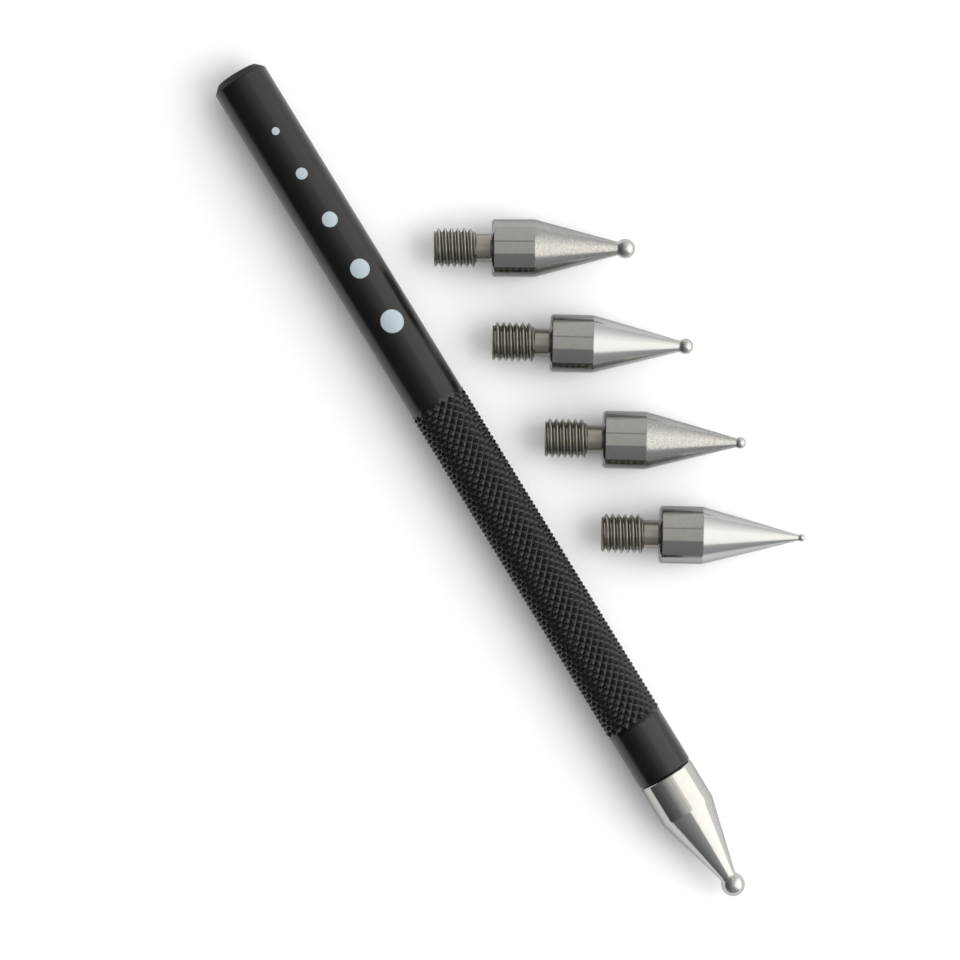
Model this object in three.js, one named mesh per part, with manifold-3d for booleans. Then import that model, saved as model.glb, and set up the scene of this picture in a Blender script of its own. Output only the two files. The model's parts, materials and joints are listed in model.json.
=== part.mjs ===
// Ball stylus for craft work: a knurled aluminium handle and five screw-in steel ball tips.
// One tip is screwed into the handle's nose. The four spare tips lie on the bench beside it.
// Units are millimetres. +X runs along the handle towards its tip, +Y towards the spare tips, +Z up.
// The origin lies on the bench, at the middle of the set's bounding box.

import * as THREE from "three";
import { mergeVertices } from "three/addons/utils/BufferGeometryUtils.js";
import Module from "manifold-3d";

const wasm = await Module();
wasm.setup();

// Handle: one turned bar with a plain rear, a knurled grip and a plain collar at the nose
const BODY_DIAMETER = 7.3;
const REAR_LENGTH = 48.4;
const GRIP_LENGTH = 48.1;
const COLLAR_LENGTH = 6.95;
const REAR_CHAMFER = 0.9;
const NOSE_CHAMFER = 0.3;

// Diamond knurl: grooves rolled both ways round the grip, with points raised above the plain bar
const KNURL_RISE = 0.2;
const KNURL_DEPTH = 0.36;
const KNURL_PITCH = 0.84;
const KNURL_ANGLE = Math.PI / 4;

// Screw thread that joins a tip to the handle, M5 x 0.8 with the basic 60 degree profile
const THREAD_DIAMETER = 5.0;
const THREAD_PITCH = 0.8;
const THREAD_FLANK = Math.PI / 6;
const THREAD_CLEARANCE = 0.15;
const TAP_DRILL_DIAMETER = 4.2;
const TAP_DEPTH_BEYOND_STUD = 0.9;
const DRILL_DEPTH_BEYOND_TAP = 1.2;
const DRILL_POINT_ANGLE = THREE.MathUtils.degToRad(59);
const COUNTERSINK = 0.2;

// Tip: threaded stud, undercut relief, cylindrical head, cone and a ball brazed in a cup at its end
const STUD_LENGTH = 7.3;
const STUD_CHAMFER = 0.5;
const RELIEF_LENGTH = 2.1;
const RELIEF_DIAMETER = 3.6;
const HEAD_DIAMETER = BODY_DIAMETER;
const HEAD_LENGTH = 5.4;
const HEAD_CHAMFER = 0.35;
const CONE_HALF_ANGLE = THREE.MathUtils.degToRad(14.9);
const BRAZE_FILM = 0.05;
const SEAT_GAP = 0.25;

// Balls, and the necks that carry them
const BALL_3_0 = 3.0;
const NECK_3_0 = 2.05;
const BALL_2_5 = 2.5;
const NECK_2_5 = 1.7;
const BALL_2_0 = 2.0;
const NECK_2_0 = 1.45;
const BALL_1_5 = 1.5;
const NECK_1_5 = 1.2;
const BALL_1_0 = 1.0;
const NECK_1_0 = 0.8;

// Spare tips on the bench: the first one's x from the handle's rear face, the step from each tip
// to the next, and each one's y from the handle's axis
const SPARE_2_5_X = 35.5;
const SPARE_2_0_STEP = 14.1;
const SPARE_1_5_STEP = 13.9;
const SPARE_1_0_STEP = 14.0;
const SPARE_2_5_Y = 16.1;
const SPARE_2_0_Y = 16.1;
const SPARE_1_5_Y = 15.4;
const SPARE_1_0_Y = 15.2;

// Facets: sides of a turned piece, steps in one turn of thread, and steps across a ball or its cup
const TURN_SIDES = 32;
const THREAD_STEPS = 16;
const BALL_SIDES = 20;
const BALL_RINGS = 10;
const CUP_STEPS = 4;

// Overlap that lets two solids join cleanly, and the reach of a cutter past the face it cuts
const JOIN_OVERLAP = 0.4;

// Sizes that follow from the ones above
const BODY_RADIUS = BODY_DIAMETER / 2;
const HEAD_RADIUS = HEAD_DIAMETER / 2;
const THREAD_RADIUS = THREAD_DIAMETER / 2;
const HANDLE_LENGTH = REAR_LENGTH + GRIP_LENGTH + COLLAR_LENGTH;
const KNURL_RADIUS = BODY_RADIUS + KNURL_RISE;
const GROOVE_RADIUS = KNURL_RADIUS - KNURL_DEPTH;
const KNURL_STARTS = Math.round((2 * Math.PI * KNURL_RADIUS * Math.cos(KNURL_ANGLE)) / KNURL_PITCH);
const KNURL_COLUMNS = 2 * KNURL_STARTS;
const THREAD_CREST_FLAT = THREAD_PITCH / 8;
const THREAD_ROOT_FLAT = THREAD_PITCH / 4;
const THREAD_SLOPE = (THREAD_PITCH - THREAD_CREST_FLAT - THREAD_ROOT_FLAT) / 2;
const THREAD_DEPTH = THREAD_SLOPE / Math.tan(THREAD_FLANK);
const SEAT_X = HANDLE_LENGTH + SEAT_GAP;
const SPARE_2_0_X = SPARE_2_5_X + SPARE_2_0_STEP;
const SPARE_1_5_X = SPARE_2_0_X + SPARE_1_5_STEP;
const SPARE_1_0_X = SPARE_1_5_X + SPARE_1_0_STEP;

// The five tips, and for each spare one its place and the way it points, in degrees from +X
const FITTED_TIP = { name: "3_0mm", ball: BALL_3_0, neck: NECK_3_0 };
const SPARE_TIPS = [
  { name: "2_5mm", ball: BALL_2_5, neck: NECK_2_5, x: SPARE_2_5_X, y: SPARE_2_5_Y, turn: 58.2 },
  { name: "2_0mm", ball: BALL_2_0, neck: NECK_2_0, x: SPARE_2_0_X, y: SPARE_2_0_Y, turn: 57.0 },
  { name: "1_5mm", ball: BALL_1_5, neck: NECK_1_5, x: SPARE_1_5_X, y: SPARE_1_5_Y, turn: 57.0 },
  { name: "1_0mm", ball: BALL_1_0, neck: NECK_1_0, x: SPARE_1_0_X, y: SPARE_1_0_Y, turn: 57.1 },
];

// A resting polygon lies on a flat side, so its axis is lower than its corners' radius
const HANDLE_AXIS_HEIGHT = KNURL_RADIUS * Math.cos(Math.PI / KNURL_COLUMNS);
const TIP_AXIS_HEIGHT = HEAD_RADIUS * Math.cos(Math.PI / TURN_SIDES);

const anodisedBlack = new THREE.MeshStandardMaterial({ color: 0x1b1a19, roughness: 0.45, metalness: 0.6 });
const polishedSteel = new THREE.MeshStandardMaterial({ color: 0xbab6af, roughness: 0.22, metalness: 1 });
const satinSteel = new THREE.MeshStandardMaterial({ color: 0xb4b2ae, roughness: 0.34, metalness: 1 });

// A closed geometry as a solid for joining and cutting
function solidOf(geometry) {
  const bare = geometry.clone();
  bare.deleteAttribute("normal");
  bare.deleteAttribute("uv");
  const merged = mergeVertices(bare);
  return new wasm.Manifold(
    new wasm.Mesh({
      numProp: 3,
      vertProperties: Float32Array.from(merged.attributes.position.array),
      triVerts: Uint32Array.from(merged.index.array),
    }),
  );
}

// A joined or cut solid as a geometry to show
function geometryOf(solid) {
  const mesh = solid.getMesh();
  return surface(mesh.vertProperties, mesh.triVerts);
}

function surface(coordinates, triangles) {
  const geometry = new THREE.BufferGeometry();
  geometry.setAttribute("position", new THREE.Float32BufferAttribute(coordinates, 3));
  geometry.setIndex(Array.from(triangles));
  geometry.computeVertexNormals();
  return geometry;
}

// A solid turned about the X axis from [x, radius] points that start and end on the axis,
// with a flat side facing down
function turned(profile) {
  const points = profile.map(([x, radius]) => new THREE.Vector2(radius, x));
  const geometry = new THREE.LatheGeometry(points, TURN_SIDES);
  geometry.rotateZ(-Math.PI / 2);
  geometry.rotateX(Math.PI / TURN_SIDES);
  return geometry;
}

// The handle's outside as rings of corners round the X axis. In the grip the corners are by turns
// the tops of diamonds and the crossings of grooves, so that each diamond is a small pyramid.
function knurledBar() {
  const rings = [
    { x: 0, high: BODY_RADIUS - REAR_CHAMFER },
    { x: REAR_CHAMFER, high: BODY_RADIUS },
    { x: REAR_LENGTH, high: BODY_RADIUS },
  ];
  const axialPitch = KNURL_PITCH / Math.sin(KNURL_ANGLE);
  const rows = 2 * Math.round(GRIP_LENGTH / axialPitch);
  const rowStep = GRIP_LENGTH / rows;
  for (let row = 0; row < rows; row += 1) {
    rings.push({ x: REAR_LENGTH + (row + 0.5) * rowStep, high: KNURL_RADIUS, low: GROOVE_RADIUS, row });
  }
  rings.push(
    { x: REAR_LENGTH + GRIP_LENGTH, high: BODY_RADIUS },
    { x: HANDLE_LENGTH - NOSE_CHAMFER, high: BODY_RADIUS },
    { x: HANDLE_LENGTH, high: BODY_RADIUS - NOSE_CHAMFER },
  );

  const isGroove = (ring, column) => ring.low !== undefined && (column + ring.row) % 2 === 1;
  const coordinates = [];
  for (const ring of rings) {
    for (let column = 0; column < KNURL_COLUMNS; column += 1) {
      const angle = (2 * Math.PI * (column + 0.5)) / KNURL_COLUMNS;
      const radius = isGroove(ring, column) ? ring.low : ring.high;
      coordinates.push(ring.x, radius * Math.cos(angle), radius * Math.sin(angle));
    }
  }
  const rearCentre = coordinates.length / 3;
  coordinates.push(0, 0, 0, HANDLE_LENGTH, 0, 0);
  const noseCentre = rearCentre + 1;

  const triangles = [];
  for (let column = 0; column < KNURL_COLUMNS; column += 1) {
    const next = (column + 1) % KNURL_COLUMNS;
    const lastRing = (rings.length - 1) * KNURL_COLUMNS;
    triangles.push(rearCentre, next, column);
    triangles.push(noseCentre, lastRing + column, lastRing + next);
    for (let k = 0; k + 1 < rings.length; k += 1) {
      const a = k * KNURL_COLUMNS + column;
      const b = k * KNURL_COLUMNS + next;
      const c = b + KNURL_COLUMNS;
      const d = a + KNURL_COLUMNS;
      // the fold follows the groove, from one low corner to the other
      if (isGroove(rings[k], next) || isGroove(rings[k + 1], column)) {
        triangles.push(a, b, d, b, c, d);
      } else {
        triangles.push(a, b, c, a, c, d);
      }
    }
  }
  return surface(coordinates, triangles);
}

// One right-hand thread wound about the X axis from -from to +to, solid to its axis.
// It stands grow proud of the nominal thread, which makes it the cutter of the matching hole.
function wound(from, to, grow) {
  const crest = THREAD_RADIUS + grow;
  const root = crest - THREAD_DEPTH;
  const across = [
    [0, root],
    [THREAD_ROOT_FLAT, root],
    [THREAD_ROOT_FLAT + THREAD_SLOPE, crest],
    [THREAD_ROOT_FLAT + THREAD_SLOPE + THREAD_CREST_FLAT, crest],
  ];
  const width = across.length;
  const edge = width - 1;
  const turnsBefore = Math.ceil(from / THREAD_PITCH) + 1;
  const turnsAfter = Math.ceil(to / THREAD_PITCH) + 1;
  const steps = (turnsBefore + turnsAfter) * THREAD_STEPS;
  const start = -turnsBefore * THREAD_PITCH;

  const coordinates = [];
  for (let step = 0; step <= steps; step += 1) {
    const angle = (2 * Math.PI * step) / THREAD_STEPS;
    for (const [along, radius] of across) {
      const x = start + (THREAD_PITCH * step) / THREAD_STEPS + along;
      coordinates.push(x, radius * Math.cos(angle), radius * Math.sin(angle));
    }
  }
  const point = (step, place) => step * width + place;
  const startCentre = coordinates.length / 3;
  const endCentre = startCentre + 1;
  coordinates.push(start + THREAD_PITCH / 2, 0, 0);
  coordinates.push(start + THREAD_PITCH * (steps / THREAD_STEPS + 1 / 2), 0, 0);

  const triangles = [];
  const patch = (a, b, c, d) => triangles.push(a, b, c, a, c, d);
  for (let step = 0; step < steps; step += 1) {
    for (let place = 0; place < edge; place += 1) {
      patch(point(step, place), point(step + 1, place), point(step + 1, place + 1), point(step, place + 1));
    }
    // the last slope of one turn runs into the root of the next
    const onward = step + THREAD_STEPS;
    if (onward < steps) {
      patch(point(step, edge), point(step + 1, edge), point(onward + 1, 0), point(onward, 0));
    }
  }

  // each end is closed by a fan from the axis to the open edge of its turn
  const firstEdge = [];
  const lastEdge = [];
  for (let step = 0; step <= THREAD_STEPS; step += 1) {
    firstEdge.push(point(step, 0));
    lastEdge.push(point(steps - THREAD_STEPS + step, edge));
  }
  for (let place = edge; place > 0; place -= 1) {
    firstEdge.push(point(0, place));
    lastEdge.push(point(steps, place - 1));
  }
  firstEdge.forEach((here, i) => triangles.push(startCentre, firstEdge[(i + 1) % firstEdge.length], here));
  lastEdge.forEach((here, i) => triangles.push(endCentre, here, lastEdge[(i + 1) % lastEdge.length]));
  return solidOf(surface(coordinates, triangles));
}

// The handle, with its tapped hole in the nose: drilled, threaded and countersunk
function handle() {
  const tapDepth = STUD_LENGTH + TAP_DEPTH_BEYOND_STUD;
  const drillDepth = tapDepth + DRILL_DEPTH_BEYOND_TAP;
  const drillRadius = TAP_DRILL_DIAMETER / 2;
  const holeRadius = THREAD_RADIUS + THREAD_CLEARANCE;
  const mouthRadius = holeRadius + COUNTERSINK;
  const past = SEAT_GAP + JOIN_OVERLAP;

  const drilled = turned([
    [-drillDepth - drillRadius / Math.tan(DRILL_POINT_ANGLE), 0],
    [-drillDepth, drillRadius],
    [past, drillRadius],
    [past, 0],
  ]);
  const tapReach = turned([
    [-tapDepth, 0],
    [-tapDepth, holeRadius + JOIN_OVERLAP],
    [past, holeRadius + JOIN_OVERLAP],
    [past, 0],
  ]);
  const sunk = turned([
    [-SEAT_GAP - mouthRadius, 0],
    [-SEAT_GAP, mouthRadius],
    [past, mouthRadius],
    [past, 0],
  ]);
  const tapped = wound(tapDepth, past, THREAD_CLEARANCE).intersect(solidOf(tapReach));
  const hole = tapped.add(solidOf(drilled)).add(solidOf(sunk)).translate([SEAT_X, 0, 0]);
  return geometryOf(solidOf(knurledBar()).subtract(hole));
}

// Where a tip's neck ends and where its ball sits, measured from the back of its head
function reach(tip) {
  const neckX = HEAD_LENGTH + (HEAD_RADIUS - tip.neck / 2) / Math.tan(CONE_HALF_ANGLE);
  const cupRadius = tip.ball / 2 + BRAZE_FILM;
  const ballX = neckX + Math.sqrt(cupRadius ** 2 - (tip.neck / 2) ** 2);
  return { neckX, cupRadius, ballX };
}

// A tip with the back of its head at x = 0 and its stud on the -X side
function tipBody(tip) {
  const { neckX, cupRadius, ballX } = reach(tip);
  const profile = [
    [-RELIEF_LENGTH - JOIN_OVERLAP, 0],
    [-RELIEF_LENGTH - JOIN_OVERLAP, RELIEF_DIAMETER / 2],
    [0, RELIEF_DIAMETER / 2],
    [0, HEAD_RADIUS - HEAD_CHAMFER],
    [HEAD_CHAMFER, HEAD_RADIUS],
    [HEAD_LENGTH, HEAD_RADIUS],
    [neckX, tip.neck / 2],
  ];
  const rim = Math.asin(tip.neck / 2 / cupRadius);
  for (let step = CUP_STEPS - 1; step >= 0; step -= 1) {
    const angle = (rim * step) / CUP_STEPS;
    profile.push([ballX - cupRadius * Math.cos(angle), cupRadius * Math.sin(angle)]);
  }

  const studReach = turned([
    [-STUD_LENGTH, 0],
    [-STUD_LENGTH, THREAD_RADIUS - STUD_CHAMFER],
    [-STUD_LENGTH + STUD_CHAMFER + JOIN_OVERLAP, THREAD_RADIUS + JOIN_OVERLAP],
    [-RELIEF_LENGTH - JOIN_OVERLAP, THREAD_RADIUS + JOIN_OVERLAP],
    [-RELIEF_LENGTH, THREAD_RADIUS],
    [-RELIEF_LENGTH, 0],
  ]);
  const stud = wound(STUD_LENGTH, 0, 0).intersect(solidOf(studReach));
  return geometryOf(solidOf(turned(profile)).add(stud));
}

// A ball with its poles on the tip's axis
function ballBody(tip) {
  const geometry = new THREE.SphereGeometry(tip.ball / 2, BALL_SIDES, BALL_RINGS);
  geometry.rotateZ(-Math.PI / 2);
  geometry.translate(reach(tip).ballX, 0, 0);
  return geometryOf(solidOf(geometry));
}

function named(name, geometry, material) {
  const mesh = new THREE.Mesh(geometry, material);
  mesh.name = name;
  return mesh;
}

// A tip and its ball, in one group that places them together
function tipGroup(kind, tip) {
  const group = new THREE.Group();
  group.add(named(`${kind}_tip_${tip.name}`, tipBody(tip), polishedSteel));
  group.add(named(`${kind}_ball_${tip.name}`, ballBody(tip), satinSteel));
  return group;
}

const set = new THREE.Group();

const pen = new THREE.Group();
pen.position.z = HANDLE_AXIS_HEIGHT;
pen.add(named("handle", handle(), anodisedBlack));
const fitted = tipGroup("fitted", FITTED_TIP);
fitted.position.x = SEAT_X;
pen.add(fitted);
set.add(pen);

for (const tip of SPARE_TIPS) {
  const spare = tipGroup("spare", tip);
  spare.position.set(tip.x, tip.y, TIP_AXIS_HEIGHT);
  spare.rotation.z = THREE.MathUtils.degToRad(tip.turn);
  set.add(spare);
}

// The set is centred on the bench below its bounding box
const box = new THREE.Box3().setFromObject(set, true);
const middle = box.getCenter(new THREE.Vector3());
set.position.set(-middle.x, -middle.y, -box.min.z);

const stylus = new THREE.Group();
stylus.add(set);

export default stylus;
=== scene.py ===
import json
import math

import bmesh
import bpy
from mathutils import Matrix, Vector


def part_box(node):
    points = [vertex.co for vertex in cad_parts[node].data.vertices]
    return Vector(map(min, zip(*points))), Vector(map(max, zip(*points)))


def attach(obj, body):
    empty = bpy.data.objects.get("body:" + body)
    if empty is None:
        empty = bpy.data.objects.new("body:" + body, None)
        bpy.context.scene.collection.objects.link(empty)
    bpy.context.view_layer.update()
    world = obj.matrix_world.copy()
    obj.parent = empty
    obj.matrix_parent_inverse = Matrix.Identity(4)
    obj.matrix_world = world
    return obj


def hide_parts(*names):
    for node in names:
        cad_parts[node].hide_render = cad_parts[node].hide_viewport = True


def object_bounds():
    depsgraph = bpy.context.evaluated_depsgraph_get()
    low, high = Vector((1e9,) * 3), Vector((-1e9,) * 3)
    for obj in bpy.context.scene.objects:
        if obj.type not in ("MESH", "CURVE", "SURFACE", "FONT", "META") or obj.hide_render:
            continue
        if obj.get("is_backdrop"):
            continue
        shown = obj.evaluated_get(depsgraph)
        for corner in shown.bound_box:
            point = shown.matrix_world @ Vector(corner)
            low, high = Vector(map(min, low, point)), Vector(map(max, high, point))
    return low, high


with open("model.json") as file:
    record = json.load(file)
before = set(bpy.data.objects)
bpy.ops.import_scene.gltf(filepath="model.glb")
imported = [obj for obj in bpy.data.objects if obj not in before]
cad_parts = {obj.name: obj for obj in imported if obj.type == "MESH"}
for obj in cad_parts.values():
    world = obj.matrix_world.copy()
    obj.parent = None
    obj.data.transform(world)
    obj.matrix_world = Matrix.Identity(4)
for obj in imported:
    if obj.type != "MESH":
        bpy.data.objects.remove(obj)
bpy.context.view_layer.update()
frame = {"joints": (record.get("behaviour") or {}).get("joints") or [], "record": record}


# Handle, turned outside
# One aluminium bar, turned to size on a lathe: a flat rear end with a wide chamfer, a plain rear,
# a grip that is left for the knurl, and a plain collar that ends in the nose.
MM = 0.001
TURN_STEPS = 120
BODY_RADIUS = 3.65
REAR_CHAMFER = 0.9
REAR_LENGTH = 48.4
GRIP_LENGTH = 48.1
SEAT_REACH = 0.22
EDGE_BREAK = 0.06
NOSE_ROUND = 0.15
EDGE_GUARD = 0.08
WELD = 1e-4
SLACK = 1e-3

handle_low, handle_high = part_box("handle")
handle_middle = (handle_low + handle_high) / 2
handle_place = Matrix.Translation((handle_low.x, handle_middle.y, handle_middle.z)) @ Matrix.Scale(MM, 4)
nose_x = (handle_high.x - handle_low.x) / MM + SEAT_REACH
grip_end = REAR_LENGTH + GRIP_LENGTH


def turn(bm, outline, steps=TURN_STEPS):
    """Turn an outline of (x, radius) points about the X axis, as a lathe does."""
    verts = [bm.verts.new((x, radius, 0)) for x, radius in outline]
    edges = [bm.edges.new(pair) for pair in zip(verts, verts[1:])]
    bmesh.ops.spin(bm, geom=verts + edges, axis=(1, 0, 0), angle=math.tau, steps=steps, use_merge=True)
    bmesh.ops.remove_doubles(bm, verts=bm.verts, dist=WELD)


def radius_of(vert):
    return math.hypot(vert.co.y, vert.co.z)


def ring(bm, x, radius):
    """The edges of the circle round the X axis at this place and radius."""

    def on(vert):
        return abs(vert.co.x - x) < SLACK and abs(radius_of(vert) - radius) < SLACK

    return [edge for edge in bm.edges if on(edge.verts[0]) and on(edge.verts[1])]


def rim(bm, x):
    """The open edges of a mesh at one place along the X axis."""
    return [
        edge for edge in bm.edges
        if edge.is_boundary and all(abs(vert.co.x - x) < SLACK for vert in edge.verts)
    ]


def round_edge(bm, edges, size, segments=3):
    """Break a turned edge with a small round."""
    bmesh.ops.bevel(
        bm, geom=edges, offset=size, offset_type="OFFSET", affect="EDGES", segments=segments,
        profile=0.5, material=-1,
    )


def score(bm, x, side=1, cut=False):
    """Cut a ring of edges across a mesh at one place, and drop what lies beyond it if told to."""
    everything = bm.verts[:] + bm.edges[:] + bm.faces[:]
    bmesh.ops.bisect_plane(
        bm, geom=everything, plane_co=(x, 0, 0), plane_no=(side, 0, 0), clear_outer=cut,
    )


handle = bmesh.new()
rolled = handle.verts.layers.float.new("rolled")


# Handle, diamond knurl
# Two sets of grooves rolled across each other at 45 degrees round the grip. The wheels' teeth leave
# steep walls and a smooth round bottom, and the metal between stands proud in blunt points.
KNURL_RISE = 0.2
KNURL_WALL = math.radians(48)
KNURL_PITCH = 0.84
KNURL_ANGLE = math.radians(45)
KNURL_FADE = 0.6
GROOVE_ROUND = 0.11
POINT_BLUNT = 0.11

crest_radius = BODY_RADIUS + KNURL_RISE
groove_radius = crest_radius - KNURL_PITCH / 2 * math.tan(KNURL_WALL)
knurl_starts = round(math.tau * crest_radius * math.cos(KNURL_ANGLE) / KNURL_PITCH)
knurl_columns = 2 * knurl_starts
knurl_rows = 2 * round(GRIP_LENGTH * math.sin(KNURL_ANGLE) / KNURL_PITCH)
row_step = GRIP_LENGTH / knurl_rows
first_row = REAR_LENGTH + row_step / 2

turn(handle, [(first_row + row * row_step, crest_radius) for row in range(knurl_rows)], knurl_columns)
crossings = []
points = []
for vert in handle.verts:
    row = round((vert.co.x - first_row) / row_step)
    column = round(math.atan2(vert.co.z, vert.co.y) / math.tau * knurl_columns)
    if (row + column) % 2:
        crossings.append(vert)
    else:
        points.append(vert)
for verts, radius in ((points, crest_radius), (crossings, groove_radius)):
    for vert in verts:
        from_end = min(vert.co.x - REAR_LENGTH, grip_end - vert.co.x)
        pressed_in = min(1, from_end / KNURL_FADE)
        vert.co.yz *= (BODY_RADIUS + (radius - BODY_RADIUS) * pressed_in) / crest_radius
bmesh.ops.connect_verts(handle, verts=crossings)
low_verts = set(crossings)
grooves = [edge for edge in handle.edges if low_verts.issuperset(edge.verts)]
bmesh.ops.bevel(
    handle, geom=grooves, offset=GROOVE_ROUND, offset_type="WIDTH", affect="EDGES", segments=3,
    profile=0.5, material=-1,
)
inner_points = [vert for vert in points if not vert.is_boundary]
bmesh.ops.bevel(
    handle, geom=inner_points, offset=POINT_BLUNT, offset_type="OFFSET", affect="VERTICES", segments=1,
    profile=0.5, material=-1,
)

# All of the mesh so far is rolled, and the finish reads that.
for vert in handle.verts:
    vert[rolled] = 1.0


# Handle, plain ends and tapped nose
# The plain rear and the collar run up to the knurl. The nose is drilled, countersunk and tapped
# right-handed for the studs of the tips, with room for the thread to run.
THREAD_STEPS = 64
THREAD_RADIUS = 2.5
THREAD_PITCH = 0.8
CREST_FLAT = 0.08
ROOT_FLAT = 0.12
FLANK = (THREAD_PITCH - CREST_FLAT - ROOT_FLAT) / 2
THREAD_DEPTH = FLANK / math.tan(math.radians(30))
THREAD_CLEARANCE = 0.15
TAP_DEPTH = 8.2
DRILL_RADIUS = 2.1
DRILL_DEPTH = 9.4
DRILL_POINT = math.radians(59)
COUNTERSINK = 0.2

tip_joint = next(joint for joint in frame["joints"] if joint["name"] == "tip_turn")
tip_seat = Vector(tip_joint["pos_m"])
seat_x = (tip_seat.x - handle_low.x) / MM
mouth_radius = THREAD_RADIUS + THREAD_CLEARANCE + COUNTERSINK


def wind_thread(bm, crest, start, end, origin, lead):
    """Wind a right-hand thread about the X axis, cut it square, and score it a lead from each end."""
    root = crest - THREAD_DEPTH
    outline = [
        (0, root),
        (ROOT_FLAT, root),
        (ROOT_FLAT + FLANK, crest),
        (ROOT_FLAT + FLANK + CREST_FLAT, crest),
        (THREAD_PITCH, root),
    ]
    first_turn = math.floor((start - origin) / THREAD_PITCH) - 2
    turns = math.ceil((end - origin) / THREAD_PITCH) + 2 - first_turn
    shift = origin + first_turn * THREAD_PITCH
    verts = [bm.verts.new((shift + along, radius, 0)) for along, radius in outline]
    edges = [bm.edges.new(pair) for pair in zip(verts, verts[1:])]
    bmesh.ops.spin(
        bm, geom=verts + edges, axis=(1, 0, 0), dvec=(THREAD_PITCH / THREAD_STEPS, 0, 0),
        angle=math.tau * turns, steps=THREAD_STEPS * turns,
    )
    bmesh.ops.remove_doubles(bm, verts=bm.verts, dist=SLACK)
    for place, side in ((start, -1), (end, 1)):
        score(bm, place, side, cut=True)
        score(bm, place - side * lead)


def hold_radius(bm, limit, keep):
    """Move each point in or out to keep(radius, limit(x)), which cuts a thread back to a cone."""
    for vert in bm.verts:
        now = radius_of(vert)
        vert.co.yz *= keep(now, limit(vert.co.x)) / now


def add_mesh(bm, other):
    """Add one mesh to another."""
    carrier = bpy.data.meshes.new("carrier")
    other.to_mesh(carrier)
    other.free()
    bm.from_mesh(carrier)
    bpy.data.meshes.remove(carrier)


tapped_from = nose_x - TAP_DEPTH
tapped = bmesh.new()
wind_thread(tapped, THREAD_RADIUS + THREAD_CLEARANCE, tapped_from, nose_x, seat_x, COUNTERSINK)
hold_radius(tapped, lambda x: mouth_radius - (nose_x - x), max)
add_mesh(handle, tapped)

rear_outline = [
    (0, 0),
    (0, BODY_RADIUS - REAR_CHAMFER - EDGE_GUARD),
    (0, BODY_RADIUS - REAR_CHAMFER),
    (REAR_CHAMFER, BODY_RADIUS),
    (REAR_LENGTH, BODY_RADIUS),
]
turn(handle, rear_outline)
nose_outline = [
    (grip_end, BODY_RADIUS),
    (nose_x, BODY_RADIUS),
    (nose_x, mouth_radius + COUNTERSINK / 4),
]
turn(handle, nose_outline)
drill_end = nose_x - DRILL_DEPTH
drill_outline = [
    (tapped_from - COUNTERSINK, DRILL_RADIUS),
    (drill_end, DRILL_RADIUS),
    (drill_end - DRILL_RADIUS / math.tan(DRILL_POINT), 0),
]
turn(handle, drill_outline, THREAD_STEPS)

round_edge(handle, ring(handle, 0, BODY_RADIUS - REAR_CHAMFER), EDGE_BREAK)
round_edge(handle, ring(handle, REAR_CHAMFER, BODY_RADIUS), EDGE_BREAK)
round_edge(handle, ring(handle, nose_x, BODY_RADIUS), NOSE_ROUND, segments=5)

# Rings cut close to the edges keep the shading of the long faces even.
for guard in (
    EDGE_GUARD, REAR_CHAMFER - EDGE_GUARD, REAR_CHAMFER + EDGE_GUARD, REAR_LENGTH - EDGE_GUARD,
    grip_end + EDGE_GUARD, nose_x - NOSE_ROUND - EDGE_GUARD,
):
    score(handle, guard)


def open_between(bm, low, high, inner, outer):
    """The open edges that lie between two places and between two radii."""
    return [
        edge for edge in bm.edges if edge.is_boundary
        and all(low <= vert.co.x <= high and inner <= radius_of(vert) <= outer for vert in edge.verts)
    ]


joins = [
    (REAR_LENGTH - row_step, REAR_LENGTH + row_step, DRILL_RADIUS, crest_radius + KNURL_RISE),
    (grip_end - row_step, grip_end + row_step, THREAD_RADIUS, crest_radius + KNURL_RISE),
    (nose_x - EDGE_BREAK, nose_x + EDGE_BREAK, DRILL_RADIUS, BODY_RADIUS),
    (tapped_from - 2 * COUNTERSINK, tapped_from + EDGE_BREAK, DRILL_RADIUS - EDGE_BREAK, BODY_RADIUS),
]
for join in joins:
    bmesh.ops.bridge_loops(handle, edges=open_between(handle, *join))

# Black anodised aluminium, bead blasted before it was dyed: a near black skin with a soft sheen,
# a fine grain, a faint difference in sheen from place to place, a knurl that the rolling wheels
# have burnished, and a duller rear end where the tool marks of the chamfer show.
BLAST_GRAIN_MM = 0.16
BLAST_DEPTH_MM = 0.004
SHEEN_PATCH_MM = 5.0
BURNISHED_BLUR = 0.07
TOOLED_BLUR = 0.65


def linear(code):
    """A colour written as sRGB hex, in linear light."""
    shares = [int(code[place:place + 2], 16) / 255 for place in (1, 3, 5)]
    return (*[s / 12.92 if s <= 0.04045 else ((s + 0.055) / 1.055) ** 2.4 for s in shares], 1.0)


def add(tree, kind, inputs, **settings):
    """Add a node: inputs holds a value, or another node's output, for each socket that is set."""
    node = tree.nodes.new(kind)
    for name, value in settings.items():
        setattr(node, name, value)
    for socket, value in inputs.items():
        if isinstance(value, bpy.types.NodeSocket):
            tree.links.new(value, node.inputs[socket])
        else:
            node.inputs[socket].default_value = value
    return node


def new_material(name, **sockets):
    """A material with its plain values on the shader's own sockets."""
    material = bpy.data.materials.new(name)
    material.use_nodes = True
    shader = material.node_tree.nodes["Principled BSDF"]
    for socket, value in sockets.items():
        shader.inputs[socket.replace("_", " ")].default_value = value
    return material, material.node_tree, shader


def per_metre(size_mm):
    """How many of a pattern's features of this size go into a metre, as texture scales count them."""
    return 1 / (size_mm * MM)


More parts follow.
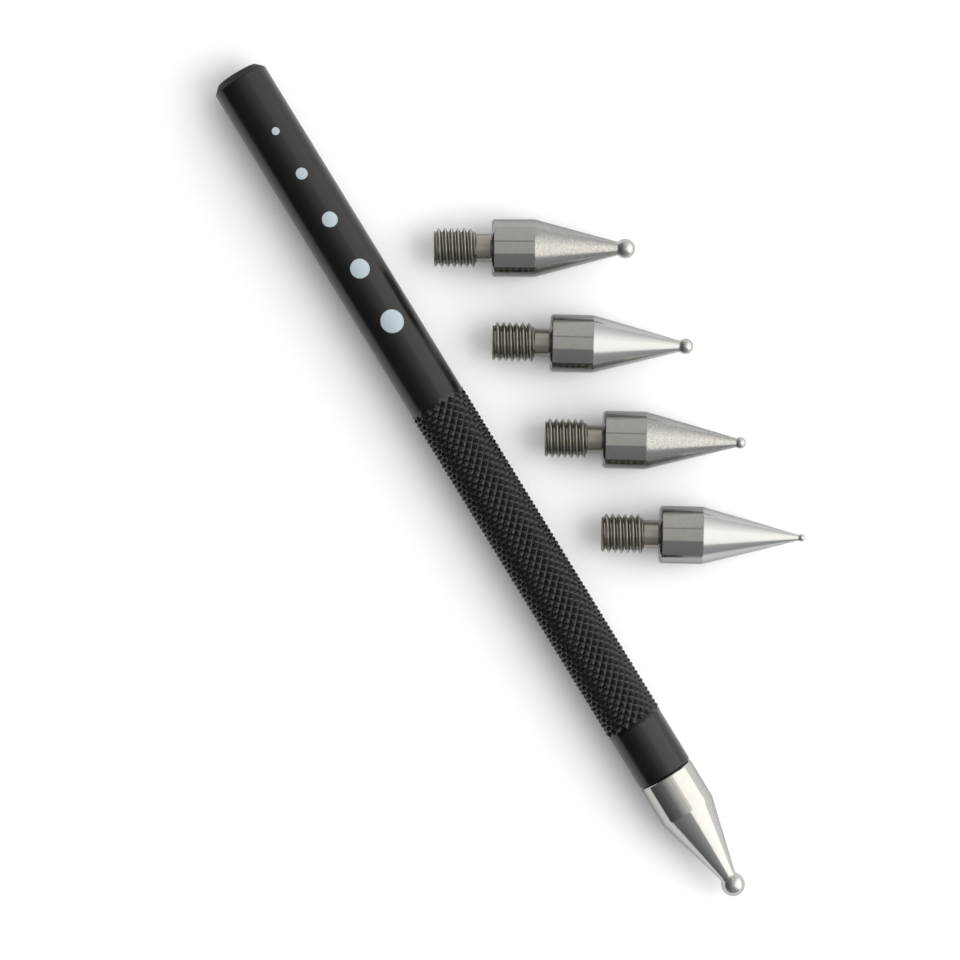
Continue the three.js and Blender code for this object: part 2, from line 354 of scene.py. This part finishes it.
anodised, tree, shader = new_material("black_anodised_aluminium", Specular_IOR_Level=0.42)
place = add(tree, "ShaderNodeTexCoord", {})
grain = add(tree, "ShaderNodeTexNoise", {
    "Vector": place.outputs["Object"], "Scale": per_metre(BLAST_GRAIN_MM), "Detail": 2.0,
})
patches = add(tree, "ShaderNodeTexNoise", {
    "Vector": place.outputs["Object"], "Scale": per_metre(SHEEN_PATCH_MM), "Detail": 3.0,
})
knurled = add(tree, "ShaderNodeAttribute", {}, attribute_name="rolled")
skin = add(tree, "ShaderNodeMix", {
    "Factor": patches.outputs["Fac"], "A": linear("#0a0909"), "B": linear("#0f0e0d"),
}, data_type="RGBA")
# The knurl is painted darker than the plain skin: painted shade for the shade that falls in its grooves.
tone = add(tree, "ShaderNodeMix", {
    "Factor": knurled.outputs["Fac"], "A": skin.outputs["Result"], "B": linear("#060505"),
}, data_type="RGBA")
sheen = add(tree, "ShaderNodeMapRange", {
    "Value": patches.outputs["Fac"], "From Min": 0.3, "From Max": 0.7, "To Min": 0.2, "To Max": 0.26,
})
burnish = add(tree, "ShaderNodeMix", {
    "Factor": knurled.outputs["Fac"], "A": sheen.outputs["Result"], "B": BURNISHED_BLUR,
})
split = add(tree, "ShaderNodeSeparateXYZ", {"Vector": place.outputs["Object"]})
chamfer_end = handle_low.x + REAR_CHAMFER * MM
tooled = add(tree, "ShaderNodeMapRange", {
    "Value": split.outputs["X"], "From Min": chamfer_end, "From Max": chamfer_end + EDGE_GUARD * MM,
    "To Min": TOOLED_BLUR, "To Max": 0.0,
})
dullness = add(tree, "ShaderNodeMath", {
    0: burnish.outputs["Result"], 1: tooled.outputs["Result"],
}, operation="MAXIMUM")
relief = add(tree, "ShaderNodeBump", {
    "Height": grain.outputs["Fac"], "Strength": 0.25, "Distance": BLAST_DEPTH_MM * MM,
})
tree.links.new(tone.outputs["Result"], shader.inputs["Base Color"])
tree.links.new(dullness.outputs[0], shader.inputs["Roughness"])
tree.links.new(relief.outputs["Normal"], shader.inputs["Normal"])


SMOOTH_ANGLE = math.radians(35)


def seat(bm, name, place, material, body, slot, *nodes):
    """Close a mesh made in millimetres, move it to its place in metres, and hand it to its body."""
    bmesh.ops.remove_doubles(bm, verts=bm.verts, dist=WELD)
    bmesh.ops.recalc_face_normals(bm, faces=bm.faces)
    bmesh.ops.transform(bm, matrix=place, verts=bm.verts)
    mesh = bpy.data.meshes.new(name)
    bm.to_mesh(mesh)
    bm.free()
    mesh.materials.append(material)
    mesh.shade_smooth()
    mesh.set_sharp_from_angle(angle=SMOOTH_ANGLE)
    made = bpy.data.objects.new(name, mesh)
    bpy.context.collection.objects.link(made)
    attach(made, body)
    if nodes:
        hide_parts(*nodes)


seat(handle, "turned_handle", handle_place, anodised, "handle", "black_anodised", "handle")


# Size marks
# Five round dots printed on the plain rear of the handle, as wide as the five balls, in a pale
# blue-white ink that lies a hundredth of a millimetre proud of the anodised skin.
DOT_DIAMETERS = (1.0, 1.5, 2.0, 2.5, 3.0)
DOT_STEPS = 48
DOT_RINGS = 6
FIRST_DOT_X = 8.5
DOT_GAP = 5.0
DOT_TURN = math.radians(8)
INK_THICKNESS = 0.012

marks = bmesh.new()
dot_x = FIRST_DOT_X
for diameter in DOT_DIAMETERS:
    dot_x += diameter / 2
    spoke = [
        marks.verts.new((dot_x + diameter / 2 * n / DOT_RINGS, 0, 0)) for n in range(DOT_RINGS + 1)
    ]
    edges = [marks.edges.new(pair) for pair in zip(spoke, spoke[1:])]
    bmesh.ops.spin(
        marks, geom=spoke + edges, cent=(dot_x, 0, 0), axis=(0, 0, 1), angle=math.tau,
        steps=DOT_STEPS, use_merge=True,
    )
    dot_x += diameter / 2 + DOT_GAP
bmesh.ops.remove_doubles(marks, verts=marks.verts, dist=WELD)
bmesh.ops.recalc_face_normals(marks, faces=marks.faces)
bmesh.ops.solidify(marks, geom=marks.faces, thickness=INK_THICKNESS)
for vert in marks.verts:
    height = BODY_RADIUS + INK_THICKNESS / 2 + vert.co.z
    angle = vert.co.y / BODY_RADIUS + DOT_TURN
    vert.co.y = height * math.sin(angle)
    vert.co.z = height * math.cos(angle)

# Pad-printed ink: pale, matt and slightly uneven where the ink was thin.
INK_SPECKLE_MM = 0.12
ink, tree, shader = new_material("pale_printed_ink", Roughness=0.55)
place = add(tree, "ShaderNodeTexCoord", {})
speckle = add(tree, "ShaderNodeTexNoise", {
    "Vector": place.outputs["Object"], "Scale": per_metre(INK_SPECKLE_MM), "Detail": 2.0,
})
tint = add(tree, "ShaderNodeMix", {
    "Factor": speckle.outputs["Fac"], "A": linear("#97a4ab"), "B": linear("#aab6bc"),
}, data_type="RGBA")
tree.links.new(tint.outputs["Result"], shader.inputs["Base Color"])
seat(marks, "size_marks", handle_place, ink, "handle", "black_anodised")


# Tips
# Each tip is turned from stainless steel bar: a threaded stud with an undercut behind the head,
# a plain head as thick as the handle, and a long cone that ends in a cup for its ball.
STUD_LENGTH = 7.3
STUD_CHAMFER = 0.3
RELIEF_LENGTH = 1.95
RELIEF_RADIUS = 1.75
RUN_OUT_SLOPE = 2.5
RELIEF_ROUND = 0.25
HEAD_RADIUS = 3.65
HEAD_LENGTH = 5.4
HEAD_CHAMFER = 0.28
CHAMFER_BREAK = 0.03
CONE_HALF_ANGLE = math.radians(14.9)
CONE_EDGE = 0.05
CUP_FILM = 0.05
CUP_STEPS = 8
TIP_STEPS = 160
FITTED_SIZE = "3_0mm"
NECK_RADII = {"3_0mm": 1.025, "2_5mm": 0.85, "2_0mm": 0.725, "1_5mm": 0.6, "1_0mm": 0.4}
BALL_RADII = {"3_0mm": 1.5, "2_5mm": 1.25, "2_0mm": 1.0, "1_5mm": 0.75, "1_0mm": 0.5}


def cup_reach(size):
    """Where the cone ends, the radius of its cup and where its ball sits, from the back of the head."""
    neck_x = HEAD_LENGTH + (HEAD_RADIUS - NECK_RADII[size]) / math.tan(CONE_HALF_ANGLE)
    cup_radius = BALL_RADII[size] + CUP_FILM
    return neck_x, cup_radius, neck_x + math.sqrt(cup_radius ** 2 - NECK_RADII[size] ** 2)


def turn_tip(size):
    """One tip along the X axis, with the back of its head at the origin."""
    tip = bmesh.new()
    stud_end = -STUD_LENGTH
    wind_thread(tip, THREAD_RADIUS, stud_end, -RELIEF_LENGTH, 0, STUD_CHAMFER)
    hold_radius(tip, lambda x: THREAD_RADIUS - STUD_CHAMFER + (x - stud_end), min)
    hold_radius(tip, lambda x: RELIEF_RADIUS + RUN_OUT_SLOPE * (-RELIEF_LENGTH - x), min)
    bmesh.ops.holes_fill(tip, edges=rim(tip, stud_end), sides=0)

    neck_x, cup_radius, ball_x = cup_reach(size)
    outline = [
        (-RELIEF_LENGTH + EDGE_BREAK, RELIEF_RADIUS),
        (0, RELIEF_RADIUS),
        (0, RELIEF_RADIUS + RELIEF_ROUND + EDGE_GUARD),
        (0, HEAD_RADIUS - HEAD_CHAMFER - EDGE_GUARD),
        (0, HEAD_RADIUS),
        (HEAD_LENGTH, HEAD_RADIUS),
        (neck_x, NECK_RADII[size]),
    ]
    opening = math.asin(NECK_RADII[size] / cup_radius)
    for step in range(CUP_STEPS - 1, -1, -1):
        angle = opening * step / CUP_STEPS
        outline.append((ball_x - cup_radius * math.cos(angle), cup_radius * math.sin(angle)))
    turn(tip, outline, TIP_STEPS)
    round_edge(tip, ring(tip, 0, RELIEF_RADIUS), RELIEF_ROUND, segments=4)
    round_edge(tip, ring(tip, 0, HEAD_RADIUS), HEAD_CHAMFER, segments=1)
    round_edge(tip, ring(tip, 0, HEAD_RADIUS - HEAD_CHAMFER), CHAMFER_BREAK)
    round_edge(tip, ring(tip, HEAD_CHAMFER, HEAD_RADIUS), CHAMFER_BREAK)
    round_edge(tip, ring(tip, HEAD_LENGTH, HEAD_RADIUS), CONE_EDGE, segments=2)
    bmesh.ops.bridge_loops(tip, edges=rim(tip, -RELIEF_LENGTH) + rim(tip, -RELIEF_LENGTH + EDGE_BREAK))

    edge_width = CONE_EDGE + EDGE_GUARD
    for guard in (
        HEAD_CHAMFER + EDGE_GUARD, HEAD_LENGTH - edge_width, HEAD_LENGTH + edge_width,
        neck_x - EDGE_GUARD,
    ):
        score(tip, guard)

    along = tip.verts.layers.float.new("along")
    crest = tip.verts.layers.float.new("crest")
    below_crest = THREAD_RADIUS - CREST_FLAT / 2
    for vert in tip.verts:
        vert[along] = vert.co.x
        vert[crest] = float(vert.co.x < -RELIEF_LENGTH and radius_of(vert) > below_crest)
    return tip


# Polished stainless steel: a clear, slightly warm mirror with faint rings from the turning tool,
# a little darker where it is seen edge on. The thread was cut last and left dull. The spare tips'
# heads are painted darker than the fitted tip's head, as painted shade for a dimmer light on the
# spares, and the spares have satin cones, two of them smooth and two stained.
TURNING_LINE_MM = 0.22
TURNING_DEPTH_MM = 0.002
STAIN_MM = 0.7
STAIN_DEPTH_MM = 0.04
SPECK_MM = 0.22
SPECK_BLUR_SHARE = 0.2
STUD_BLUR = 0.3
GRAZING_TONE = "#c6c6c6"


def turned_steel(name, head_tones, cone_tones, cone_blur, unevenness):
    """Turned steel with its own tones and polish on head and cone, and a darker, rougher stud."""
    material, tree, shader = new_material(name, Metallic=1.0, Specular_Tint=linear(GRAZING_TONE))
    place = add(tree, "ShaderNodeTexCoord", {})
    along_axis = add(tree, "ShaderNodeAttribute", {}, attribute_name="along")
    lines = add(tree, "ShaderNodeTexNoise", {
        "W": along_axis.outputs["Fac"], "Scale": 1 / TURNING_LINE_MM, "Detail": 2.0,
    }, noise_dimensions="1D")
    stains = add(tree, "ShaderNodeTexNoise", {
        "Vector": place.outputs["Object"], "Scale": per_metre(STAIN_MM), "Detail": 4.0,
    })
    specks = add(tree, "ShaderNodeTexNoise", {
        "Vector": place.outputs["Object"], "Scale": per_metre(SPECK_MM), "Detail": 2.0,
    })
    speckle = add(tree, "ShaderNodeMapRange", {
        "Value": specks.outputs["Fac"], "From Min": 0.35, "From Max": 0.65,
    })
    on_head, on_cone = (
        add(tree, "ShaderNodeMix", {
            "Factor": share, "A": linear(deep), "B": linear(pale),
        }, data_type="RGBA")
        for share, (deep, pale) in (
            (stains.outputs["Fac"], head_tones), (speckle.outputs["Result"], cone_tones),
        )
    )
    cone = add(tree, "ShaderNodeMapRange", {
        "Value": along_axis.outputs["Fac"], "From Min": HEAD_LENGTH,
        "From Max": HEAD_LENGTH + EDGE_GUARD,
    })
    tint = add(tree, "ShaderNodeMix", {
        "Factor": cone.outputs["Result"], "A": on_head.outputs["Result"], "B": on_cone.outputs["Result"],
    }, data_type="RGBA")
    thread = add(tree, "ShaderNodeMapRange", {
        "Value": along_axis.outputs["Fac"], "From Min": -RELIEF_ROUND, "From Max": 0.0,
        "To Min": 1.0, "To Max": 0.0,
    })
    # The crests are painted paler than the flanks: a painted highlight along each crest of the thread.
    crest = add(tree, "ShaderNodeAttribute", {}, attribute_name="crest")
    crest_highlight = add(tree, "ShaderNodeMapRange", {
        "Value": crest.outputs["Fac"], "From Min": 0.6, "From Max": 1.0,
    })
    stud_tone = add(tree, "ShaderNodeMix", {
        "Factor": crest_highlight.outputs["Result"], "A": linear("#9c9890"), "B": linear("#cac7c1"),
    }, data_type="RGBA")
    tone = add(tree, "ShaderNodeMix", {
        "Factor": thread.outputs["Result"], "A": tint.outputs["Result"],
        "B": stud_tone.outputs["Result"],
    }, data_type="RGBA")
    blur = add(tree, "ShaderNodeMapRange", {
        "Value": lines.outputs["Fac"], "From Min": 0.3, "From Max": 0.7, "To Min": 0.07, "To Max": 0.12,
    })
    spread = SPECK_BLUR_SHARE * unevenness
    satin = add(tree, "ShaderNodeMapRange", {
        "Value": speckle.outputs["Result"], "To Min": cone_blur + spread, "To Max": cone_blur - spread,
    })
    polish = add(tree, "ShaderNodeMix", {
        "Factor": cone.outputs["Result"], "A": blur.outputs["Result"], "B": satin.outputs["Result"],
    })
    dullness = add(tree, "ShaderNodeMix", {
        "Factor": thread.outputs["Result"], "A": polish.outputs["Result"], "B": STUD_BLUR,
    })
    relief = add(tree, "ShaderNodeBump", {
        "Height": lines.outputs["Fac"], "Strength": 0.3, "Distance": TURNING_DEPTH_MM * MM,
    })
    uneven = add(tree, "ShaderNodeMath", {
        0: cone.outputs["Result"], 1: unevenness,
    }, operation="MULTIPLY")
    waves = add(tree, "ShaderNodeBump", {
        "Height": stains.outputs["Fac"], "Strength": uneven.outputs[0],
        "Distance": STAIN_DEPTH_MM * MM, "Normal": relief.outputs["Normal"],
    })
    tree.links.new(tone.outputs["Result"], shader.inputs["Base Color"])
    tree.links.new(dullness.outputs["Result"], shader.inputs["Roughness"])
    tree.links.new(waves.outputs["Normal"], shader.inputs["Normal"])
    return material


warm_tones = ("#afaeab", "#bab9b6")
clear_tones = ("#b4b4b3", "#b8b8b7")
# The spare heads' tones are painted darker than the fitted head's: painted shade, for a dimmer light on
# the spares.
shaded_spare_head_tones = ("#969592", "#a1a09d")
satin_tones = ("#b1b2b2", "#b4b5b5")
stained_tones = ("#979899", "#aba9a4")
fitted_steel = turned_steel("polished_stainless_steel", warm_tones, clear_tones, 0.15, 0.05)
smooth_steel = turned_steel("satin_stainless_steel", shaded_spare_head_tones, satin_tones, 0.2, 0.06)
stained_steel = turned_steel("stained_stainless_steel", shaded_spare_head_tones, stained_tones, 0.22, 0.15)
finishes = {
    "3_0mm": fitted_steel, "2_5mm": stained_steel, "2_0mm": smooth_steel, "1_5mm": stained_steel,
    "1_0mm": smooth_steel,
}


def tip_place(size):
    """Where the back of a tip's head lies, and the way the tip points, from the frame."""
    if size == FITTED_SIZE:
        return Matrix.Translation(tip_seat) @ Matrix.Scale(MM, 4)
    mount = next(m for m in frame["record"]["mounts"] if m["name"] == f"spare_{size}_seat")
    low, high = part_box(f"spare_tip_{size}")
    back = Vector((mount["pos_m"][0], mount["pos_m"][1], (low.z + high.z) / 2))
    heading = math.atan2(-mount["axis"][1], -mount["axis"][0])
    return Matrix.Translation(back) @ Matrix.Rotation(heading, 4, "Z") @ Matrix.Scale(MM, 4)


def names_of(size, what):
    """The CAD node of a tip or a ball, and the body that it rides on."""
    if size == FITTED_SIZE:
        return f"fitted_{what}_{size}", f"fitted_{what}"
    return f"spare_{what}_{size}", f"spare_{size}"


for size in NECK_RADII:
    node, body = names_of(size, "tip")
    seat(turn_tip(size), f"turned_{node}", tip_place(size), finishes[size], body, "polished_steel", node)


# Balls
# Hard steel balls, each brazed into the cup at the end of its cone. The braze draws up into a
# smooth hollow fillet round the neck, and ball and braze are polished together.
BALL_STEPS = 96
ARC_STEP = math.radians(4)
BRAZE_FILLETS = {"3_0mm": 0.55, "2_5mm": 0.45, "2_0mm": 0.4, "1_5mm": 0.3, "1_0mm": 0.25}
BRAZE_LIFT = 0.004


def arc(centre, radius, start, end):
    """Points (x, radius) along a round stretch of an outline, between two angles from +X."""
    count = max(2, math.ceil(abs(end - start) / ARC_STEP))
    angles = [start + (end - start) * n / count for n in range(count + 1)]
    return [(centre[0] + radius * math.cos(a), centre[1] + radius * math.sin(a)) for a in angles]


def braze_ball(size):
    """A ball with its braze fillet, on the same axis and origin as its tip."""
    neck_x, cup_radius, ball_x = cup_reach(size)
    radius = BALL_RADII[size]
    fillet = BRAZE_FILLETS[size]
    outward = Vector((math.sin(CONE_HALF_ANGLE), math.cos(CONE_HALF_ANGLE)))
    forward = Vector((math.cos(CONE_HALF_ANGLE), -math.sin(CONE_HALF_ANGLE)))
    centre = Vector((ball_x, 0))
    inside = (Vector((HEAD_LENGTH, HEAD_RADIUS)) - centre).dot(outward) + BRAZE_LIFT
    off_cone = inside + fillet
    back = math.sqrt((radius + fillet) ** 2 - off_cone ** 2)
    hollow = centre + outward * off_cone - forward * back
    to_ball = centre - hollow
    meets_ball = math.atan2(to_ball.y, to_ball.x)
    meets_cone = math.atan2(-outward.y, -outward.x)
    ball_angle = math.atan2(-to_ball.y, -to_ball.x)
    cup_angle = math.pi - math.asin(NECK_RADII[size] / cup_radius)
    outline = arc(centre, radius, 0, ball_angle)
    outline += arc(hollow, fillet, meets_ball, meets_cone)[1:]
    outline.append((neck_x, NECK_RADII[size] + BRAZE_LIFT))
    outline += arc(centre, radius, cup_angle, math.pi)
    ball = bmesh.new()
    turn(ball, [(x, max(across, 0)) for x, across in outline], BALL_STEPS)
    return ball


# Polished ball steel: smoother than the turned cone, with only a faint haze of fine scratches.
HAZE_MM = 0.25
ball_steel, tree, shader = new_material(
    "polished_ball_steel", Metallic=1.0, Specular_Tint=linear(GRAZING_TONE),
)
place = add(tree, "ShaderNodeTexCoord", {})
haze = add(tree, "ShaderNodeTexNoise", {
    "Vector": place.outputs["Object"], "Scale": per_metre(HAZE_MM), "Detail": 3.0,
})
tint = add(tree, "ShaderNodeMix", {
    "Factor": haze.outputs["Fac"], "A": linear("#b2b2b1"), "B": linear("#bebebd"),
}, data_type="RGBA")
blur = add(tree, "ShaderNodeMapRange", {
    "Value": haze.outputs["Fac"], "From Min": 0.3, "From Max": 0.7, "To Min": 0.22, "To Max": 0.27,
})
tree.links.new(tint.outputs["Result"], shader.inputs["Base Color"])
tree.links.new(blur.outputs["Result"], shader.inputs["Roughness"])

for size in NECK_RADII:
    node, body = names_of(size, "ball")
    seat(braze_ball(size), f"brazed_{node}", tip_place(size), ball_steel, body, "ball_steel", node)


# Table, light and camera
# A white table top under a large soft light on the right, as in a small photo studio, with the
# camera straight above. The table keeps the soft shadows that fall to the left.
CAMERA_TURN = math.radians(58.47)
CAMERA_HEIGHT = 0.46
PICTURE_WIDTH = 0.12155
SENSOR_WIDTH = 36.0
AIM = Vector((-1.05, -14.48, 3.7)) * MM
TABLE_SIZE = 4.0

picture_right = Vector((math.cos(CAMERA_TURN), math.sin(CAMERA_TURN), 0))
picture_up = Vector((-math.sin(CAMERA_TURN), math.cos(CAMERA_TURN), 0))

table_top = bmesh.new()
bmesh.ops.create_grid(table_top, x_segments=1, y_segments=1, size=TABLE_SIZE / 2)
bmesh.ops.translate(table_top, vec=(0, 0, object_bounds()[0].z), verts=table_top.verts)
table_mesh = bpy.data.meshes.new("table_top")
table_top.to_mesh(table_mesh)
table_top.free()
table = bpy.data.objects.new("table_top", table_mesh)
bpy.context.collection.objects.link(table)
table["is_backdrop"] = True

table_white, tree, shader = new_material("white_table", Roughness=0.9, Specular_IOR_Level=0.0)
shader.inputs["Base Color"].default_value = linear("#fafafa")
table_mesh.materials.append(table_white)

# Each lamp: its place to the right, up the picture and above the table; how far it leans from facing
# straight down, towards the top of the picture and towards the left; its size; and how bright its
# face is beside white paper. The panels are warm and show in the steel, and each core makes its
# panel brighter towards the middle. The cooler fills show in neither the steel nor the black skin.
FACE_WATTS = 2.57
PANELS = [
    ("right_panel", (0.30, -0.065, 0.46), (0, 79), (0.90, 0.51), 0.75),
    ("right_panel_core", (0.30, -0.065, 0.32), (0, 79), (0.62, 0.51), 1.0),
    ("upper_right_panel", (0.30, 0.71, 0.40), (0, 79), (0.78, 1.00), 0.35),
    ("overhead_panel", (-0.03, 0.0, 0.70), (0, 0), (0.46, 0.60), 0.15),
    ("overhead_panel_middle", (0.04, 0.0, 0.72), (0, 0), (0.32, 0.62), 0.17),
    ("overhead_panel_core", (0.0925, 0.0, 0.74), (0, 0), (0.215, 0.64), 0.2),
    ("top_panel", (-0.01, 0.45, 0.42), (-90, 0), (0.22, 0.84), 0.54),
]

# Five narrower panels behind the upper right one start at its lower edge and reach less and less far
# up, so that it grows brighter towards that edge. A fill in its place gives the table its light.
STEPS = ((0.40, 0.22), (0.31, 0.22), (0.22, 0.28), (0.13, 0.25), (0.04, 0.3))
STEP_EDGE = 0.21
STEP_HEIGHT = 0.40
STEP_BEHIND = 0.35
STEP_STAGGER = 0.1
STEP_WIDTH = 0.78
for reach, brightness in STEPS:
    spot = (STEP_BEHIND - STEP_STAGGER * reach, STEP_EDGE + reach / 2, STEP_HEIGHT)
    name = f"upper_right_step_{len(PANELS)}"
    PANELS.append((name, spot, (0, 79), (STEP_WIDTH, reach), brightness))

FILLS = [
    ("upper_right_fill", (0.29, 0.71, 0.40), (0, 79), (0.78, 1.00), 0.39),
    ("right_fill", (0.45, -0.05, 0.50), (0, 42), (0.50, 0.50), 2.5),
    ("overhead_fill", (-0.03, 0.0, 0.70), (0, 0), (0.46, 0.60), 0.5),
    ("top_fill", (-0.36, 0.45, 0.45), (-90, 0), (0.48, 0.80), 0.7),
    ("bottom_fill", (0.10, -0.45, 0.45), (90, 0), (0.60, 0.60), 0.9),
]
for lamps, tint, mirrored in ((PANELS, "#fffaf1", True), (FILLS, "#f3f9ff", False)):
    for name, (right, up, high), (lean_up, lean_left), size, brightness in lamps:
        lamp = bpy.data.lights.new(name, "AREA")
        lamp.shape = "RECTANGLE"
        lamp.size, lamp.size_y = size
        lamp.color = linear(tint)[:3]
        lamp.energy = FACE_WATTS * brightness * size[0] * size[1]
        holder = bpy.data.objects.new(name, lamp)
        holder.location = AIM + picture_right * right + picture_up * up + Vector((0, 0, high))
        holder.rotation_euler = (math.radians(lean_up), math.radians(lean_left), CAMERA_TURN)
        holder.visible_glossy = mirrored
        bpy.context.collection.objects.link(holder)

# The room is dim on the left and lighter on the right and at the top of the picture.
ROOM_MIDDLE = 0.45
ROOM_TO_RIGHT = 0.36
ROOM_TO_TOP = 0.1
world = bpy.data.worlds.new("studio")
world.use_nodes = True
tree = world.node_tree
heading = add(tree, "ShaderNodeTexCoord", {})
slope = picture_right * ROOM_TO_RIGHT + picture_up * ROOM_TO_TOP
share = add(tree, "ShaderNodeVectorMath", {
    0: heading.outputs["Generated"], 1: slope,
}, operation="DOT_PRODUCT")
level = add(tree, "ShaderNodeMath", {0: share.outputs["Value"], 1: ROOM_MIDDLE}, operation="ADD")
tree.links.new(level.outputs[0], tree.nodes["Background"].inputs["Strength"])
tree.nodes["Background"].inputs["Color"].default_value = linear("#ffffff")
bpy.context.scene.world = world

camera = bpy.data.cameras.new("camera")
camera.sensor_width = SENSOR_WIDTH
camera.lens = SENSOR_WIDTH * CAMERA_HEIGHT / PICTURE_WIDTH
camera_holder = bpy.data.objects.new("camera", camera)
camera_holder.location = AIM + Vector((0, 0, CAMERA_HEIGHT))
camera_holder.rotation_euler = (0, 0, CAMERA_TURN)
bpy.context.collection.objects.link(camera_holder)
bpy.context.scene.camera = camera_holder
bpy.context.scene.view_settings.view_transform = "Standard"

low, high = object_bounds()
